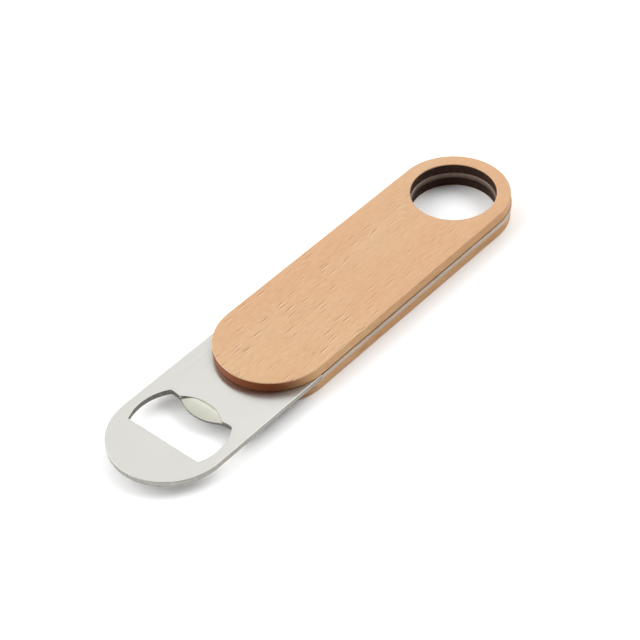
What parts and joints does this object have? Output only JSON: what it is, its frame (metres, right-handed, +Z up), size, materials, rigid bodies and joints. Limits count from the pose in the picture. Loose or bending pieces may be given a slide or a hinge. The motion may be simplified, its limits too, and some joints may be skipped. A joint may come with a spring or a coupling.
{
  "type": "bottle opener",
  "caption": "Flat bar-blade bottle opener: a stainless steel blade with a coined cap mouth, held between beech handle scales with a large ring hole at the end.",
  "frame": {"origin": "below the middle of the blade, on the surface that the lower scale lies on", "axes": "+X along the handle, from the opener's tip to the ring end; +Z up, out of the upper scale, on the side where the tooth is coined; +Y across the handle"},
  "size_m": [0.1824, 0.0406, 0.0095],
  "materials": {
    "stainless_steel": "sheet steel, fine satin brush on its faces, fine blanked walls",
    "beech": "sanded steamed beech, thin matt oil; its cut walls are darker, and charred in the ring",
    "adhesive": "cured adhesive, dull brown at the joint line"
  },
  "bodies": {
    "root": {"steel_blade": "stainless_steel", "upper_scale": "beech", "lower_scale": "beech", "upper_adhesive_film": "adhesive", "lower_adhesive_film": "adhesive"}
  },
  "joints": []
}
